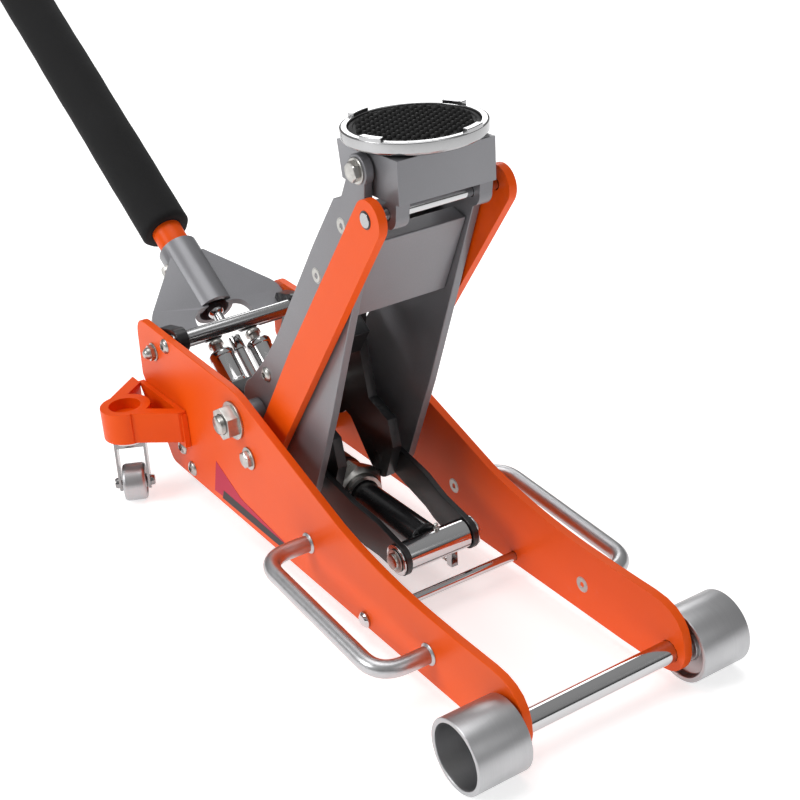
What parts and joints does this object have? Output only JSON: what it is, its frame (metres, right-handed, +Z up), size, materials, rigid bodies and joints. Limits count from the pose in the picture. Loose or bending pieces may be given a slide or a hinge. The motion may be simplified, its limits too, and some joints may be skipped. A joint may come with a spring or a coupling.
{
  "type": "trolley jack",
  "caption": "Low-profile hydraulic trolley jack: two side plates on wheels, a pivoting lift arm with a level swivelling saddle, and a long pump handle.",
  "frame": {"origin": "on the floor, under the middle of the whole jack with its handle", "axes": "+X from the handle towards the front wheels, +Y to the jack's left, +Z up"},
  "size_m": [1.5474, 0.3144, 0.751],
  "materials": {
    "orange_powder_coat": "gloss orange powder coat on aluminium plate",
    "grey_powder_coat": "semi-gloss metallic grey powder coat",
    "polished_steel": "bright chrome-plated steel",
    "brushed_aluminium": "satin machined aluminium",
    "zinc_plated_steel": "zinc-plated steel",
    "black_steel": "satin black paint on steel",
    "black_foam": "fine closed-cell foam",
    "black_rubber": "matt black rubber"
  },
  "bodies": {
    "frame": {"side_plate_left": "orange_powder_coat", "side_plate_right": "orange_powder_coat", "front_axle": "polished_steel", "tie_rod": "polished_steel", "carry_handle_left": "brushed_aluminium", "carry_handle_right": "brushed_aluminium", "caster_bracket_left": "orange_powder_coat", "caster_bracket_right": "orange_powder_coat", "arm_pivot_shaft": "zinc_plated_steel", "arm_pivot_nut_left": "zinc_plated_steel", "arm_pivot_nut_right": "zinc_plated_steel", "arm_pivot_bush_left": "grey_powder_coat", "arm_pivot_bush_right": "grey_powder_coat", "link_bolt_left": "zinc_plated_steel", "link_bolt_right": "zinc_plated_steel", "hydraulic_block": "black_steel", "ram_cylinder": "black_steel", "gland_nut": "zinc_plated_steel", "pump_cylinder_left": "polished_steel", "pump_cylinder_right": "polished_steel", "cross_rod": "polished_steel"},
    "lift_arm": {"arm_plate_left": "grey_powder_coat", "arm_plate_right": "grey_powder_coat", "arm_web": "grey_powder_coat", "arm_back_web": "grey_powder_coat", "arm_cross_block": "black_steel", "saddle_bolt_left": "zinc_plated_steel", "saddle_bolt_right": "zinc_plated_steel", "lug_plate_left": "black_steel", "lug_plate_right": "black_steel"},
    "saddle_bracket": {"saddle_bracket": "grey_powder_coat", "link_pin": "polished_steel"},
    "saddle": {"saddle_ring": "polished_steel", "saddle_pad": "black_rubber"},
    "link_left": {"level_link_left": "orange_powder_coat"},
    "link_right": {"level_link_right": "orange_powder_coat"},
    "ram": {"ram_rod": "black_steel", "crosshead": "polished_steel", "crosshead_pin": "zinc_plated_steel", "return_spring": "zinc_plated_steel"},
    "pull_left": {"pull_plate_left": "black_steel"},
    "pull_right": {"pull_plate_right": "black_steel"},
    "handle_socket": {"handle_socket": "grey_powder_coat", "pivot_block_left": "black_steel", "pivot_block_right": "black_steel", "pump_roller_left": "black_steel", "pump_roller_right": "black_steel"},
    "handle": {"handle_tube": "orange_powder_coat", "release_coupler": "polished_steel", "foam_sleeve": "black_foam", "hand_grip": "black_rubber"},
    "release_rod": {"release_rod": "polished_steel"},
    "plunger_left": {"pump_plunger_left": "zinc_plated_steel"},
    "plunger_right": {"pump_plunger_right": "zinc_plated_steel"},
    "front_wheel_left": {"front_wheel_left": "brushed_aluminium"},
    "front_wheel_right": {"front_wheel_right": "brushed_aluminium"},
    "caster_fork_left": {"caster_fork_left": "polished_steel"},
    "caster_fork_right": {"caster_fork_right": "polished_steel"},
    "caster_wheel_left": {"caster_wheel_left": "brushed_aluminium"},
    "caster_wheel_right": {"caster_wheel_right": "brushed_aluminium"}
  },
  "joints": [
    {"name": "lift", "type": "hinge", "parent": "frame", "child": "lift_arm", "pos_m": [0.30718, 0, 0.138], "axis": [0, -1, 0], "range_deg": [-65, 0]},
    {"name": "saddle_level", "type": "hinge", "parent": "lift_arm", "child": "saddle_bracket", "pos_m": [0.52627, 0, 0.43193], "axis": [0, -1, 0], "range_deg": [0, 65]},
    {"name": "link_left_swing", "type": "hinge", "parent": "frame", "child": "link_left", "pos_m": [0.33118, 0.063, 0.1056], "axis": [0, -1, 0], "range_deg": [-65, 0]},
    {"name": "link_right_swing", "type": "hinge", "parent": "frame", "child": "link_right", "pos_m": [0.33118, -0.063, 0.1056], "axis": [0, -1, 0], "range_deg": [-65, 0]},
    {"name": "saddle_swivel", "type": "hinge", "parent": "saddle_bracket", "child": "saddle", "pos_m": [0.52627, 0, 0.45], "axis": [0, 0, 1], "continuous": true},
    {"name": "ram_slide", "type": "slide", "parent": "frame", "child": "ram", "axis": [1, 0, 0], "range_m": [-0.088, 0], "deforming": ["return_spring"]},
    {"name": "pull_left_tilt", "type": "hinge", "parent": "ram", "child": "pull_left", "pos_m": [0.51418, 0.04, 0.06], "axis": [0, -1, 0], "range_deg": [0, 18]},
    {"name": "pull_right_tilt", "type": "hinge", "parent": "ram", "child": "pull_right", "pos_m": [0.51418, -0.04, 0.06], "axis": [0, -1, 0], "range_deg": [0, 18]},
    {"name": "handle_pump", "type": "hinge", "parent": "frame", "child": "handle_socket", "pos_m": [0.16378, 0, 0.1703], "axis": [0, 1, 0], "range_deg": [-25, 50]},
    {"name": "handle_twist", "type": "hinge", "parent": "handle_socket", "child": "handle", "pos_m": [0.06094, 0, 0.19577], "axis": [-0.8368, 0, 0.5476], "range_deg": [-90, 90]},
    {"name": "release_turn", "type": "hinge", "parent": "frame", "child": "release_rod", "pos_m": [0.15518, 0, 0.138], "axis": [-0.7501, 0, 0.6613], "range_deg": [-90, 90]},
    {"name": "plunger_left_stroke", "type": "slide", "parent": "frame", "child": "plunger_left", "axis": [0.7501, 0, -0.6613], "range_m": [-0.0235, 0.012]},
    {"name": "plunger_right_stroke", "type": "slide", "parent": "frame", "child": "plunger_right", "axis": [0.7501, 0, -0.6613], "range_m": [-0.0235, 0.012]},
    {"name": "front_wheel_left_spin", "type": "hinge", "parent": "frame", "child": "front_wheel_left", "pos_m": [0.74118, 0.115, 0.0325], "axis": [0, 1, 0], "continuous": true},
    {"name": "front_wheel_right_spin", "type": "hinge", "parent": "frame", "child": "front_wheel_right", "pos_m": [0.74118, -0.115, 0.0325], "axis": [0, 1, 0], "continuous": true},
    {"name": "caster_left_swivel", "type": "hinge", "parent": "frame", "child": "caster_fork_left", "pos_m": [0.13718, 0.131, 0.07], "axis": [0, 0, 1], "continuous": true},
    {"name": "caster_left_roll", "type": "hinge", "parent": "caster_fork_left", "child": "caster_wheel_left", "pos_m": [0.14787, 0.12555, 0.02], "axis": [0.454, 0.891, 0], "continuous": true},
    {"name": "caster_right_swivel", "type": "hinge", "parent": "frame", "child": "caster_fork_right", "pos_m": [0.13718, -0.131, 0.07], "axis": [0, 0, 1], "continuous": true},
    {"name": "caster_right_roll", "type": "hinge", "parent": "caster_fork_right", "child": "caster_wheel_right", "pos_m": [0.14787, -0.13645, 0.02], "axis": [0.454, 0.891, 0], "continuous": true}
  ],
  "couplings": [
    {"joint": "saddle_level", "follows": "lift", "ratio": -1},
    {"joint": "link_left_swing", "follows": "lift", "ratio": 1},
    {"joint": "link_right_swing", "follows": "lift", "ratio": 1},
    {"joint": "ram_slide", "follows": "lift", "m_per_rad": 0.0758},
    {"joint": "pull_left_tilt", "follows": "lift", "ratio": -0.271},
    {"joint": "pull_right_tilt", "follows": "lift", "ratio": -0.271},
    {"joint": "release_turn", "follows": "handle_twist", "ratio": 1},
    {"joint": "plunger_left_stroke", "follows": "handle_pump", "m_per_rad": -0.0265},
    {"joint": "plunger_right_stroke", "follows": "handle_pump", "m_per_rad": -0.0265}
  ]
}
